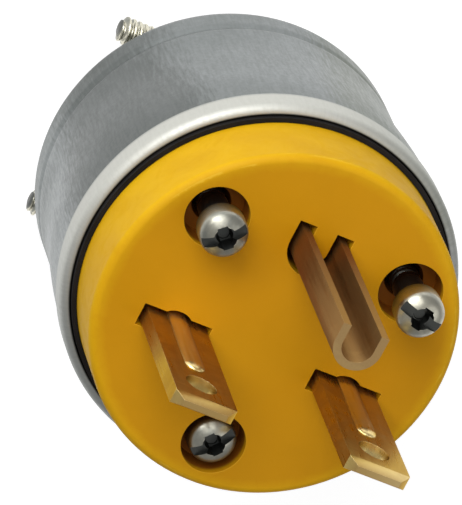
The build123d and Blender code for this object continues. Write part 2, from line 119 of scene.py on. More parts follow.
class PlugShape(bpy.types.PropertyGroup):
    """Sizes of the fine forms that the solids leave out."""

    turns: IntProperty(name="Facets", description="Facets round the steel shell", default=256, min=32)
    shell_wall: length("Shell wall", 0.7, "Thickness of the drawn steel")
    groove_height: length("Groove height", 4.4, "Height of the shallow groove over the shell's rear face")
    groove_width: length("Groove width", 1.5, "Width of the shallow groove")
    groove_depth: length("Groove depth", 0.22, "Depth of the shallow groove")
    body_edge: length("Body edge", 0.22, "Rounding at the slots and wells of the yellow body")
    pin_edge: length("Pin edge", 0.16, "Rounding along the edges of the blades and the ground pin")
    strap_edge: length("Strap edge", 0.14, "Rounding along the edges of the cord grip")
    long_pitch: length("Long screw pitch", 0.8, "Distance between threads of the long screws")
    grip_pitch: length("Grip screw pitch", 0.64, "Distance between threads of the cord grip's screws")
    thread_share: share("Thread depth", 0.5, "Depth of a thread as a share of its pitch")


class PlugFinish(bpy.types.PropertyGroup):
    """Colours of the finishes."""

    nylon: colour("Nylon", (0.78, 0.45, 0.006), "Yellow moulded nylon")
    # Painted shade in the wells and slots
    nylon_painted_hollow_shade: colour("Nylon, painted shade in hollows", (0.30, 0.095, 0.008), "Painted shade of the nylon deep in the wells and slots")
    # Painted shade of the face, where the side keeps the lit colour
    nylon_painted_face_shade: colour("Nylon, face in painted shade", (0.63, 0.288, 0.003), "Painted shade of the nylon face, darker than its lit side")
    steel: colour("Steel", (0.268, 0.286, 0.288), "Plated steel of the shell")
    steel_dull: colour("Steel, dull", (0.172, 0.187, 0.178), "Plating where it has dulled")
    # Painted highlight of the rolled bead
    bead: colour("Rolled bead, painted highlight", (0.60, 0.60, 0.555), "Painted highlight of the rolled bead")
    grip: colour("Grip steel", (0.42, 0.43, 0.43), "Plated steel of the cord grip and the lugs")
    zinc: colour("Zinc", (0.46, 0.44, 0.36), "Bright plating of the screws")
    brass: colour("Brass", (0.72, 0.53, 0.18), "Rolled brass of the pins")
    # Rubbed brass, also used as painted highlight on the pins
    brass_bright: colour("Brass, rubbed and highlit", (0.95, 0.78, 0.42), "Brass brightened by rubbing and shearing, also the painted highlight on the pins")
    # Tarnish, also painted shade in the fold of the ground pin
    brass_dark: colour("Brass, tarnish and painted shade", (0.25, 0.105, 0.016), "Tarnish on the brass, also its painted shade")
    fibre: colour("Fibre", (0.008, 0.007, 0.007), "Black fibre of the insulation")
    phenolic: colour("Phenolic", (0.018, 0.016, 0.015), "Black moulded base")
    green: colour("Green plating", (0.03, 0.22, 0.07), "Ground terminal screw")


class PlugStage(bpy.types.PropertyGroup):
    """Light, floor and camera."""

    floor: colour("Floor", (0.50, 0.50, 0.50), "Colour of the floor")
    room: FloatProperty(name="Room light", description="Level of the even light", default=0.25, min=0.0)
    key: power("Key lamp", 4.1, "Power of the soft main lamp")
    upper: power("Upper lamp", 2.0, "Power of the soft lamp overhead")
    fill: power("Fill lamp", 0.9, "Power of the weak side lamp")
    focal: FloatProperty(name="Focal length", description="Focal length of the camera", default=452.96,
                         min=1.0, unit="CAMERA")


# Node trees

class Field:
    """What a node puts out. A sum or a product of it adds the node that works that out to its tree."""

    def __init__(self, tree, socket):
        self.tree = tree
        self.socket = socket

    def __add__(self, other):
        return calc("ADD", self, other)

    def __radd__(self, other):
        return calc("ADD", other, self)

    def __sub__(self, other):
        return calc("SUBTRACT", self, other)

    def __rsub__(self, other):
        return calc("SUBTRACT", other, self)

    def __mul__(self, other):
        return calc("MULTIPLY", self, other)

    def __truediv__(self, other):
        return calc("DIVIDE", self, other)

    def to(self, socket):
        self.tree.links.new(self.socket, socket)


def add(tree, kind, sockets=None, **options):
    """Adds a node, sets its options, and fills its sockets by name or number with values or fields."""
    node = tree.nodes.new(kind)
    for key, value in options.items():
        setattr(node, key, value)
    for key, value in (sockets or {}).items():
        if isinstance(value, Field):
            value.to(node.inputs[key])
        else:
            node.inputs[key].default_value = value
    return node


def put(tree, kind, sockets=None, out=0, **options):
    """Adds a node and returns one of its outputs."""
    return Field(tree, add(tree, kind, sockets, **options).outputs[out])


def tree_of(*values):
    return next(value.tree for value in values if isinstance(value, Field))


def calc(operation, *values, clamp=False):
    sockets = dict(enumerate(values))
    return put(tree_of(*values), "ShaderNodeMath", sockets, operation=operation, use_clamp=clamp)


def larger(first, second):
    return calc("MAXIMUM", first, second)


def ramp(value, low, high, start=0.0, end=1.0):
    """Smooth step of a value between low and high."""
    sockets = {"Value": value, "From Min": low, "From Max": high, "To Min": start, "To Max": end}
    return put(value.tree, "ShaderNodeMapRange", sockets, "Result", interpolation_type="SMOOTHSTEP")


def blend(factor, first, second):
    """Mix of two colours, each a field or three numbers."""
    tones = [tone if isinstance(tone, Field) else (*tone, 1.0) for tone in (first, second)]
    return put(factor.tree, "ShaderNodeMix", {0: factor, 6: tones[0], 7: tones[1]}, 2, data_type="RGBA")


def scaled(tone, factor):
    """A colour made darker or lighter."""
    return [min(1.0, factor * part) for part in tone]


def xyz(x=0.0, y=0.0, z=0.0):
    return put(tree_of(x, y, z), "ShaderNodeCombineXYZ", {0: x, 1: y, 2: z})


def split(vector):
    node = add(vector.tree, "ShaderNodeSeparateXYZ", {0: vector})
    return [Field(vector.tree, socket) for socket in node.outputs]


def measure(operation, out, *vectors):
    """Sum with vectors, of which one output is wanted."""
    return put(vectors[0].tree, "ShaderNodeVectorMath", dict(enumerate(vectors)), out, operation=operation)


def from_axis(place):
    """Distance of a place from the Z axis."""
    parts = split(place)
    return measure("LENGTH", "Value", xyz(parts[0], parts[1]))


def toward(place, direction):
    """How far out a place lies in a direction."""
    return measure("DOT_PRODUCT", "Value", place, direction)


def noise(vector, scale, detail=4.0, rough=0.5, warp=0.0):
    sockets = {"Vector": vector, "Scale": scale, "Detail": detail, "Roughness": rough, "Distortion": warp}
    return put(vector.tree, "ShaderNodeTexNoise", sockets, "Fac")


def rays(tree, *kinds):
    """Whether a ray is of each of the kinds, from Light Path."""
    node = add(tree, "ShaderNodeLightPath")
    return [Field(tree, node.outputs[f"Is {kind} Ray"]) for kind in kinds]


def new_group(name, kind, inputs, outputs):
    """Empty node group with named inputs (label, socket type, default) and outputs (label, socket type)."""
    tree = bpy.data.node_groups.new(name, kind)
    for label, socket_type, default in inputs:
        socket = tree.interface.new_socket(label, in_out="INPUT", socket_type=socket_type)
        if default is not None:
            socket.default_value = default
    for label, socket_type in outputs:
        tree.interface.new_socket(label, in_out="OUTPUT", socket_type=socket_type)
    start = tree.nodes.new("NodeGroupInput")
    end = tree.nodes.new("NodeGroupOutput")
    return tree, {socket.name: Field(tree, socket) for socket in start.outputs}, end.inputs


def new_pattern(name, values, masks=("Mask",)):
    """Shader group that reads a place and named values and puts out masks."""
    inputs = [("Vector", "NodeSocketVector", None)]
    inputs += [(label, "NodeSocketFloat", value) for label, value in values.items()]
    return new_group(name, "ShaderNodeTree", inputs, [(mask, "NodeSocketFloat") for mask in masks])


def mottle():
    """Cloudy patches, as in plating, tarnish or uneven gloss."""
    tree, start, end = new_pattern("Mottle", {"Scale": 200.0, "Warp": 0.4, "Low": 0.35, "High": 0.65})
    field = noise(start["Vector"], start["Scale"], 6.0, 0.58, start["Warp"])
    ramp(field, start["Low"], start["High"]).to(end["Mask"])
    return tree


def fine_scratches():
    """Long fine scratches in three directions, broken up into patches."""
    values = {"Scale": 900.0, "Stretch": 0.06, "Width": 0.012, "Amount": 0.5}
    tree, start, end = new_pattern("Fine scratches", values)
    total = 0.0
    for turn in (0.5, -0.9, 2.1):
        sockets = {"Vector": start["Vector"], "Rotation": (turn, 0.6 * turn, turn)}
        rotated = put(tree, "ShaderNodeMapping", sockets)
        line = noise(measure("MULTIPLY", 0, rotated, xyz(start["Stretch"], 1.0, 1.0)), start["Scale"], 1.0)
        mark = 1.0 - ramp(calc("ABSOLUTE", line - 0.5), 0.0, start["Width"])
        total = larger(total, mark)
    patch = noise(start["Vector"], start["Scale"] * 0.35, 2.0)
    gate = ramp(patch, 0.85 - start["Amount"] * 0.5, 0.9)
    (total * gate).to(end["Mask"])
    return tree


def turned_marks():
    """Lines round the Z axis and streaks along it, as a tool or a die leaves on a turned or drawn piece."""
    tree, start, end = new_pattern("Turned marks", {"Scale": 6000.0}, ("Rings", "Draw"))
    parts = split(start["Vector"])
    along = parts[2] + from_axis(start["Vector"])
    sockets = {"W": along, "Scale": start["Scale"], "Detail": 4.0}
    put(tree, "ShaderNodeTexNoise", sockets, "Fac", noise_dimensions="1D").to(end["Rings"])
    around = measure("NORMALIZE", 0, xyz(parts[0], parts[1]))
    place = measure("ADD", 0, around, xyz(z=parts[2] * 8.0))
    noise(place, 60.0, 5.0, 0.6).to(end["Draw"])
    return tree


def edge_wear():
    """Worn edges: the piece's edge attribute, broken up by noise."""
    tree, start, end = new_pattern("Edge wear", {"Edge": 0.0, "Scale": 900.0, "Spread": 0.5})
    broken = noise(start["Vector"], start["Scale"], 5.0, 0.65)
    reach = start["Edge"] + (broken - 0.5) * 0.9
    low = 1.0 - start["Spread"]
    ramp(reach, low, low + 0.3).to(end["Mask"])
    return tree


PATTERNS = {
    "Mottle": mottle,
    "Fine scratches": fine_scratches,
    "Turned marks": turned_marks,
    "Edge wear": edge_wear,
}


class Coat:
    """A new material: its tree, its Principled shader and the coordinates that every pattern reads."""

    def __init__(self, name, **constants):
        self.material = bpy.data.materials.new(name)
        self.material.use_nodes = True
        self.tree = self.material.node_tree
        self.tree.nodes.clear()
        sockets = {key.replace("_", " "): value for key, value in constants.items()}
        self.shader = add(self.tree, "ShaderNodeBsdfPrincipled", sockets)
        self.surface = Field(self.tree, self.shader.outputs[0])
        self.output = add(self.tree, "ShaderNodeOutputMaterial", {"Surface": self.surface})
        self.place = put(self.tree, "ShaderNodeTexCoord", out="Object")

    def attribute(self, name):
        return put(self.tree, "ShaderNodeAttribute", out="Fac", attribute_name=name)

    def pattern(self, name, mask="Mask", **values):
        """A mask from a shared pattern, which is built when first asked for."""
        shared = bpy.data.node_groups.get(name) or PATTERNS[name]()
        return put(self.tree, "ShaderNodeGroup", {"Vector": self.place, **values}, mask, node_tree=shared)

    def mottle(self, scale, warp, low, high):
        return self.pattern("Mottle", Scale=scale, Warp=warp, Low=low, High=high)

    def scratches(self, scale, amount):
        return self.pattern("Fine scratches", Scale=scale, Amount=amount)

    def wear(self, scale, spread):
        return self.pattern("Edge wear", Edge=self.attribute("edge"), Scale=scale, Spread=spread)

    def done(self, base, gloss, height, depth):
        """Feeds the shader, with the height as a bump of the given depth, and returns the material."""
        sockets = {"Height": height, "Distance": depth, "Strength": 1.0}
        base.to(self.shader.inputs["Base Color"])
        gloss.to(self.shader.inputs["Roughness"])
        put(self.tree, "ShaderNodeBump", sockets, "Normal").to(self.shader.inputs["Normal"])
        return self.material


def plated(name, bright, dull, rough, scale, bead=None):
    """Plated steel: cloudy dull patches, fine scratches, bright worn edges and painted shade where a piece
    marks it, and on the shell, for which a colour of its bead is given, the marks of the die with painted
    reflection, highlight and shade."""
    coat = Coat(name, Metallic=1.0)
    cloud = coat.mottle(scale, 0.9, 0.30, 0.72)
    grain = coat.mottle(2600.0, 0.2, 0.3, 0.7)
    scratch = coat.scratches(700.0, 0.5)
    worn = coat.wear(1200.0, 0.55)
    base = blend(cloud * 0.75, bright, dull)
    base = blend(grain * 0.12, base, scaled(dull, 0.7))
    base = blend(larger(scratch * 0.35, worn * 0.8), base, scaled(bright, 1.7))
    gloss = rough + cloud * 0.12 + grain * 0.06 - worn * 0.08
    height = grain * 0.5 - scratch * 0.6
    if bead is not None:
        base, gloss, height = drawn(coat, cloud, dull, bead, base, gloss, height)
    # Painted shade on the metal where a piece marks it: screw recesses, head undersides, shanks and screw
    # ends
    base = blend(coat.attribute("hollow") * 0.86, base, PAINTED_SHADE_ON_METAL)
    return coat.done(base, gloss, height, 0.006 * MM)


def drawn(coat, cloud, dull, bead, base, gloss, height):
    """Adds the marks of the die, two painted dark patches (a painted reflection and painted shade), the
    painted highlight of the bead and painted shade on the inside of its rim.
    """
    rings = coat.pattern("Turned marks", "Rings", Scale=5200.0)
    draw = coat.pattern("Turned marks", "Draw", Scale=5200.0)
    base = blend(ramp(draw, 0.35, 0.75, 0.0, 0.22), base, dull)
    height = height + rings * 0.5 + draw * 0.9
    gloss = gloss + ramp(draw, 0.3, 0.7, -0.04, 0.06)
    # Two painted dark patches: a painted dark reflection on the side that faces the upper left, and painted
    # shade on the side that faces +Y
    painted_dark_patches = (((-0.92, 0.39, 0.0), 17.2 * MM, 0.74, scaled(dull, 0.62)),
              ((0.42, 0.91, 0.0), 17.3 * MM, 0.55, SHELL_PAINTED_SHADE))
    for direction, start, most, tone in painted_dark_patches:
        patch = toward(coat.place, direction) + draw * (2.5 * MM) - cloud * (0.6 * MM)
        base = blend(ramp(patch, start, start + 2.0 * MM, 0.0, most), base, tone)
    low = SHELL[1].z - BEAD_HEIGHT * MM
    rolled = ramp(split(coat.place)[2], low, low + 0.9 * MM)
    # Painted highlight on the bead, strongest on the side that faces the upper left
    bead_lit_side = ramp(toward(coat.place, (-0.7, 0.71, 0.0)), -2.0 * MM, 19.0 * MM, 0.3, 0.95)
    base = blend(rolled * bead_lit_side, base, bead)
    gloss = gloss + rolled * 0.2
    # Painted shade on the inside of the rim, next to the gap at the yellow body
    inner_edge = SHELL[1].x - 0.92 * MM
    inner = ramp(from_axis(coat.place), inner_edge, inner_edge + 0.2 * MM, 1.0, 0.0)
    base = blend(inner * rolled, base, RIM_PAINTED_SHADE)
    return base, gloss, height


def rolled_brass(name, bright, dark, rubbed, amount, rough):
    """Brass with cloudy tarnish, brown specks, rolling lines along the piece, bright rubbed places and
    painted highlight, painted shade where a piece marks it, and a darker ground pin side.
    """
    coat = Coat(name, Metallic=1.0, Specular_Tint=BRASS_GLANCING)
    cloud = coat.mottle(230.0, 1.2, 0.34, 0.68)
    speck = coat.mottle(1900.0, 0.3, 0.58, 0.72)
    scratch = coat.scratches(800.0, 0.6)
    worn = coat.wear(1500.0, 0.6)
    upright = put(coat.tree, "ShaderNodeMapping", {"Vector": coat.place, "Scale": (1.0, 1.0, 0.03)})
    rolled = noise(upright, 5200.0, 3.0)
    parts = split(coat.place)
    # Darker on the ground pin's side, from 4 mm out along +Y
    ground_side = ramp(parts[1], 4.0 * MM, 6.0 * MM, 0.0, 0.9)
    tarnish_and_shade = larger(cloud * amount, speck * (0.6 * amount)) + ground_side
    # Painted shade where pieces mark it (the fold, screw recesses) and the darker blade ends, lighter near
    # the ground pin's tip
    tip = GROUND_PIN[1].z
    below_tip = ramp(parts[2], tip - 2.6 * MM, tip, 1.0, 0.1)
    tarnish_and_shade = calc("MAXIMUM", tarnish_and_shade, coat.attribute("hollow") * below_tip, clamp=True)
    base = blend(tarnish_and_shade, bright, dark)
    # Rubbed places and painted highlight that pieces mark
    wear_and_highlight = larger(larger(worn * 0.75, scratch * 0.3), coat.attribute("rubbed") * 0.85)
    base = blend(wear_and_highlight, base, rubbed)
    gloss = rough + tarnish_and_shade * 0.22 + ramp(rolled, 0.3, 0.7, -0.03, 0.05)
    return coat.done(base, gloss, rolled * 0.8 - scratch * 0.5, 0.006 * MM)


def moulded_nylon(name, bright, deep, hollow):
    """Moulded nylon: a face in painted shade, lit on the side and near the rim, painted shade in the hollows,
    waxy gloss, mould grain and light scuffs.
    """
    coat = Coat(name, IOR=1.5, Specular_IOR_Level=0.13)
    cloud = coat.mottle(90.0, 1.4, 0.36, 0.68)
    flow = coat.mottle(420.0, 1.8, 0.42, 0.72)
    grain = coat.mottle(5200.0, 0.0, 0.3, 0.7)
    scratch = coat.scratches(420.0, 0.42)
    worn = coat.wear(900.0, 0.5)
    rim, _, top = BODY[1]
    # Painted shade on the face: it takes the darker copy of the nylon, while the side and a band near the rim
    # keep the lit one
    face = ramp(split(coat.place)[2], top - 0.7 * MM, top - 0.1 * MM)
    out = from_axis(coat.place) + cloud * (0.7 * MM)
    near_rim = ramp(out, rim - 2.0 * MM, rim + 0.3 * MM, 0.0, 0.75)
    tone = face * (1.0 - near_rim) + cloud * 0.25
    base = blend(calc("ADD", tone, flow * 0.12, clamp=True), bright, deep)
    base = blend(cloud * 0.10, base, scaled(deep, 0.75))
    base = blend(worn * 0.35, base, NYLON_WORN)
    base = blend(scratch * 0.12, base, NYLON_SCRATCHED)
    # Painted shade deep in the wells and slots
    base = blend(ramp(coat.attribute("hollow"), 0.05, 0.36), base, hollow)
    gloss = 0.52 + flow * 0.12 + scratch * 0.15 - worn * 0.06
    wave = noise(coat.place, 300.0, 2.0)
    return coat.done(base, gloss, grain * 0.25 + wave * 3.0 - scratch * 0.5, 0.012 * MM)


def black_insulation(name, tone, scale, rough):
    """Black fibre or phenolic: a fine felted grain, grey scuffs and paler rubbed edges."""
    coat = Coat(name, IOR=1.5, Specular_IOR_Level=0.2)
    grain = coat.mottle(scale, 0.8, 0.35, 0.7)
    cloud = coat.mottle(200.0, 0.9, 0.4, 0.7)
    scratch = coat.scratches(600.0, 0.5)
    worn = coat.wear(1100.0, 0.5)
    base = blend(cloud * 0.6, tone, scaled(tone, 2.2))
    base = blend(larger(worn * 0.3, scratch * 0.3), base, INSULATION_RUBBED)
    return coat.done(base, rough + grain * 0.15, grain, 0.01 * MM)


def finish(slot):
    """The material of a slot, made when first asked for."""
    name = f"{slot}_finish"
    if name in bpy.data.materials:
        return bpy.data.materials[name]
    tones = bpy.context.scene.plug_finish
    brass = (tones.brass, tones.brass_dark, tones.brass_bright)
    makers = {
        "shell_steel": lambda: plated(name, tones.steel, tones.steel_dull, 0.32, 32.0, tones.bead),
        "grip_steel": lambda: plated(name, tones.grip, tones.steel_dull, 0.34, 70.0),
        "zinc_screw": lambda: plated(name, tones.zinc, tones.steel_dull, 0.27, 280.0),
        "brass": lambda: rolled_brass(name, *brass, 0.34, 0.28),
        "brass_screw": lambda: rolled_brass(name, *brass, 0.25, 0.22),
        "green_screw": lambda: rolled_brass(name, tones.green, GREEN_DARK, GREEN_RUBBED, 0.4, 0.3),
        "yellow_nylon": lambda: moulded_nylon(name, tones.nylon, tones.nylon_painted_face_shade, tones.nylon_painted_hollow_shade),
        "black_fibre": lambda: black_insulation(name, tones.fibre, 3200.0, 0.62),
        "black_phenolic": lambda: black_insulation(name, tones.phenolic, 1500.0, 0.42),
    }
    return makers[slot]()


# Pieces

def new_piece(name, mesh):
    piece = bpy.data.objects.new(name, mesh)
    bpy.context.scene.collection.objects.link(piece)
    return piece


def plain_mesh(piece):
    """Replaces a piece's modifiers by the mesh that they make, with its faces turned outwards."""
    graph = bpy.context.evaluated_depsgraph_get()
    made = bpy.data.meshes.new_from_object(piece.evaluated_get(graph))
    old = piece.data
    piece.modifiers.clear()
    piece.data = made
    bpy.data.meshes.remove(old)
    work = bmesh.new()
    work.from_mesh(made)
    if work.calc_volume(signed=True) < 0:
        bmesh.ops.reverse_faces(work, faces=work.faces)
        work.to_mesh(made)
    work.free()


def face_width(face):
    return face.calc_area() / max(edge.calc_length() for edge in face.edges)


def mark_edges(mesh):
    """Writes how sharply each rounded edge turns outwards to the attribute that wear reads."""
    work = bmesh.new()
    work.from_mesh(mesh)
    broad = {face.index for face in work.faces if face_width(face) > BROAD_FACE}
    values = []
    for point in work.verts:
        bend = 0.0
        if not any(face.index in broad for face in point.link_faces):
            outward = [edge for edge in point.link_edges if edge.is_manifold and edge.is_convex]
            bend = max((edge.calc_face_angle(0.0) for edge in outward), default=0.0)
        values.append(min(1.0, bend / SHARP_TURN))
    work.free()
    attribute = mesh.attributes.new("edge", "FLOAT", "POINT")
    attribute.data.foreach_set("value", values)


def mark_points(mesh, name, value):
    """Writes a value from 0 to 1 for each point to an attribute that a material reads."""
    attribute = mesh.attributes.get(name) or mesh.attributes.new(name, "FLOAT", "POINT")
    attribute.data.foreach_set("value", [min(1.0, max(0.0, value(point.co))) for point in mesh.vertices])


def shade_in_wells(place):
    """Painted shade by depth below the face of the yellow body, in its wells and slots, where 1 is the
    darkest.
    """
    if Vector(place[:2]).length > BODY[1].x - 1.0 * MM:
        return 0.0
    return (BODY[1].z - place[2]) / (2.2 * MM)


def shade_in_fold(place):
    """1 on the inside of the folded ground pin, which takes painted shade."""
    low, high = GROUND_PIN
    below = min(0.0, place[1] - low.y - high.x)
    inside = Vector((place[0], below)).length < high.x - 0.6 * MM
    return 1.0 if inside and place[1] < high.y - 0.1 * MM else 0.0


def on_blade_end(place):
    """Darker tone on the end face of a blade."""
    return 0.65 if place[2] > BLADE_LEFT[1].z - 0.02 * MM else 0.0


def on_left_blade(place):
    """1 on the pressed rib of a blade, which rubbing brightens and which also takes a painted highlight, less
    on its bevels, and little on its end face.
    """
    if on_blade_end(place):
        return 0.15
    rib = (place[1] - BLADE_LEFT[1].y) / (0.45 * MM) + 1.0
    bevel = 0.9 if place[2] > BLADE_LEFT[1].z - 0.7 * MM else 0.0
    return max(rib, bevel)


def on_right_blade(place):
    """As on the left blade, with a painted highlight that grows towards the outer edge."""
    low, high = BLADE_RIGHT
    across = (place[0] - low.x) / (high.x - low.x)
    return max(on_left_blade(place), 0.6 * across - 0.05)


def leg_edge_highlight(place):
    """1 on the rounded edges of the ground pin's two legs, where the wear mask paints a highlight."""
    return 1.0 if 0.005 * MM < GROUND_PIN[1].y - place[1] < 0.1 * MM else 0.0


def sheared_face_highlight(place):
    """Painted highlight on the sheared faces of the folded ground pin, strongest on the edges of its legs."""
    high = GROUND_PIN[1]
    if place[1] > high.y - 0.1 * MM:
        return 0.65
    return 0.3 if place[2] > high.z - 0.1 * MM else 0.0


def hand_over(piece, slot, *nodes):
    """Gives a finished piece the material of its slot and its body, marks its edges, and hides the solids
    that it stands for.
    """
    piece.data.materials.clear()
    piece.data.materials.append(finish(slot))
    mark_edges(piece.data)
    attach(piece, "root")
    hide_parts(*nodes)


def softened(node, name, slot, width, segments=3):
    """Copy of a solid with its loose triangles joined, its flat faces made whole and its edges rounded."""
    work = bmesh.new()
    work.from_mesh(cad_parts[node].data)
    bmesh.ops.remove_doubles(work, verts=work.verts, dist=WELD)
    bmesh.ops.dissolve_limit(work, angle_limit=radians(0.3), verts=work.verts, edges=work.edges)
    mesh = bpy.data.meshes.new(name)
    work.to_mesh(mesh)
    work.free()
    mesh.shade_smooth()
    piece = new_piece(name, mesh)
    bevel = piece.modifiers.new("Rounded edges", "BEVEL")
    bevel.width = width
    bevel.segments = segments
    bevel.limit_method = "ANGLE"
    bevel.angle_limit = radians(40)
    bevel.harden_normals = False
    bevel.use_clamp_overlap = True
    even = piece.modifiers.new("Flat faces stay flat", "WEIGHTED_NORMAL")
    even.keep_sharp = True
    even.weight = 100
    plain_mesh(piece)
    hand_over(piece, slot, node)
    return piece


def grow(piece, tree, values):
    """Runs a geometry tree on a piece with its named inputs and keeps the mesh that comes out."""
    modifier = piece.modifiers.new(tree.name, "NODES")
    modifier.node_group = tree
    for item in tree.interface.items_tree:
        if item.item_type == "SOCKET" and item.in_out == "INPUT" and item.name in values:
            modifier[item.identifier] = values[item.name]
    plain_mesh(piece)


def new_shape_tree(name, sizes):
    """Geometry tree with the mesh to start from, sizes by name with their defaults, and the material."""
    kinds = {bool: "NodeSocketBool", int: "NodeSocketInt", float: "NodeSocketFloat"}
    inputs = [("Geometry", "NodeSocketGeometry", None)]
    inputs += [(label, kinds[type(value)], value) for label, value in sizes.items()]
    inputs += [("Material", "NodeSocketMaterial", None)]
    return new_group(name, "GeometryNodeTree", inputs, [("Geometry", "NodeSocketGeometry")])


def shade_by_angle(mesh, degrees):
    """Smooth shading with sharp edges where faces meet at more than the angle."""
    kind = "GeometryNodeSetShadeSmooth"
    smooth = put(mesh.tree, kind, {0: mesh, "Shade Smooth": True}, domain="FACE")
    angle = put(mesh.tree, "GeometryNodeInputMeshEdgeAngle", out="Unsigned Angle")
    sharp = put(mesh.tree, "FunctionNodeCompare", {0: angle, 1: radians(degrees)}, operation="GREATER_THAN")
    return put(mesh.tree, kind, {0: smooth, "Selection": sharp, "Shade Smooth": False}, domain="EDGE")


def moved_up(mesh, height):
    return put(mesh.tree, "GeometryNodeTransform", {"Geometry": mesh, "Translation": xyz(z=height)})


def reshaped(mesh, **sockets):
    """The mesh with its points at a new Position, or moved by an Offset."""
    return put(mesh.tree, "GeometryNodeSetPosition", {"Geometry": mesh, **sockets})


def cylinder(tree, corners, sides, rings, radius, depth, fill="TRIANGLE_FAN"):
    """Closed drum, centred on the origin, with a count of rows along it and of rings on its ends."""
    sockets = {"Vertices": corners, "Side Segments": sides, "Fill Segments": rings, "Radius": radius,
               "Depth": depth}
    return put(tree, "GeometryNodeMeshCylinder", sockets, "Mesh", fill_type=fill)


def with_painted_shade(mesh, value):
    """The mesh with how much painted shade each face takes, in the attribute that materials read."""
    sockets = {"Geometry": mesh, "Name": "hollow", "Value": value}
    return put(mesh.tree, "GeometryNodeStoreNamedAttribute", sockets, data_type="FLOAT", domain="FACE")


def joined(*meshes):
    tree = tree_of(*meshes)
    node = add(tree, "GeometryNodeJoinGeometry")
    for mesh in meshes:
        mesh.to(node.inputs[0])
    return Field(tree, node.outputs[0])


def close_tree(tree, start, end, mesh):
    """Ends a geometry tree: instances made real and the material set."""
    real = put(tree, "GeometryNodeRealizeInstances", {0: mesh})
    sockets = {"Geometry": real, "Material": start["Material"]}
    put(tree, "GeometryNodeSetMaterial", sockets).to(end["Geometry"])
    return tree


def close_on_points(tree, start, end, mesh, **sockets):
    """Ends a geometry tree that puts the mesh on each point it is given."""
    sockets = {"Points": start["Geometry"], "Instance": mesh, **sockets}
    return close_tree(tree, start, end, put(tree, "GeometryNodeInstanceOnPoints", sockets))


def lathe_tree():
    """Turns the closed outline in a piece's mesh, whose points are (radius, 0, height), about the Z axis."""
    tree, start, end = new_shape_tree("Turned piece", {"Facets": 128})
    outline = start["Geometry"]
    points = put(tree, "GeometryNodeAttributeDomainSize", {"Geometry": outline}, "Point Count")
    rows = points + 1.0
    sockets = {"Vertices X": start["Facets"] + 1.0, "Vertices Y": rows}
    grid = put(tree, "GeometryNodeMeshGrid", sockets, "Mesh")
    index = put(tree, "GeometryNodeInputIndex")
    row = calc("MODULO", calc("MODULO", index, rows), points)
    column = calc("FLOOR", (index + 0.5) / rows)
    place = put(tree, "GeometryNodeInputPosition")
    sockets = {"Geometry": outline, "Value": place, "Index": row}
    spot = split(put(tree, "GeometryNodeSampleIndex", sockets, data_type="FLOAT_VECTOR", domain="POINT"))
    turn = column / start["Facets"] * (2 * pi)
    turned = xyz(spot[0] * calc("COSINE", turn), spot[0] * calc("SINE", turn), spot[2])
    sockets = {"Geometry": reshaped(grid, Position=turned), "Distance": WELD}
    welded = put(tree, "GeometryNodeMergeByDistance", sockets)
    return close_tree(tree, start, end, shade_by_angle(welded, 32))


def arc(centre, radius, first, last, steps):
    """Points of an arc in the outline plane, with angles in degrees."""
    turns = [radians(first + (last - first) * i / steps) for i in range(steps + 1)]
    return [(centre[0] + radius * cos(t), centre[1] + radius * sin(t)) for t in turns]


def shell_outline(shape):
    """Closed outline of the drawn shell in millimetres, outer face first, from the cord hole outwards."""
    wall = shape.shell_wall / MM
    low = SHELL[0].z / MM
    rim = SHELL[1].z / MM
    bead = SHELL[1].x / MM
    bead_low = rim - BEAD_HEIGHT
    bead_round = 0.8
    mouth = bead - 0.3
    rear = mouth - 0.8
    shoulder = 1.6
    shoulder_centre = (rear - shoulder, low + shoulder)
    hole = 7.0
    break_edge = 0.12
    flare_start = rim - 18.5
    flare_end = rim - 5.5
    groove = low + shape.groove_height / MM
    half = shape.groove_width / MM / 2
    depth = shape.groove_depth / MM

    def side(z):
        share_up = min(1.0, max(0.0, (z - flare_start) / (flare_end - flare_start)))
        return rear + (mouth - rear) * share_up ** 2 * (3 - 2 * share_up)

    def dent(z):
        off = abs(z - groove) / half
        return depth * (0.5 + 0.5 * cos(pi * off)) if off < 1 else 0.0

    points = [(hole + break_edge, low), *arc(shoulder_centre, shoulder, -90, 0, 10)]
    heights = [low + shoulder + 0.25 * i for i in range(1, 80)]
    points += [(side(z) - dent(z), z) for z in heights if z < bead_low]
    points += [(mouth, rim - 3.15)]
    points += arc((mouth, rim - 2.8), 0.3, -90, 0, 6)
    points += arc((bead - bead_round, rim - bead_round), bead_round, 0, 90, 12)
    points += [(mouth - wall + 0.08, rim), (mouth - wall, rim - 0.08)]
    points += [(side(z) - wall, z) for z in reversed(heights) if z < bead_low and z > low + wall + 0.8]
    points += arc(shoulder_centre, shoulder - wall, 0, -90, 6)
    points += [(hole + break_edge, low + wall), (hole, low + wall - break_edge), (hole, low + break_edge)]
    return points


def domed_head(tree, start, place):
    """Drum whose top is drawn down to a dome and whose lower part is marked for painted shade."""
    tall = start["Head Height"]
    blank = moved_up(cylinder(tree, 48, 5, 12, start["Head Radius"], tall), tall * 0.5)
    x, y, z = split(place)
    out = from_axis(place) / start["Head Radius"]
    lean = out * (0.5 * pi)
    drop = (1.0 - calc("COSINE", lean)) * start["Dome"]
    spread = calc("SINE", lean) / larger(out, 0.001)
    head = reshaped(blank, Position=xyz(x * spread, y * spread, z - drop * (z / tall)))
    # Painted shade on the lower part of the head, darkest at its underside
    return with_painted_shade(head, calc("SUBTRACT", 1.0, z / (tall * 0.55), clamp=True))


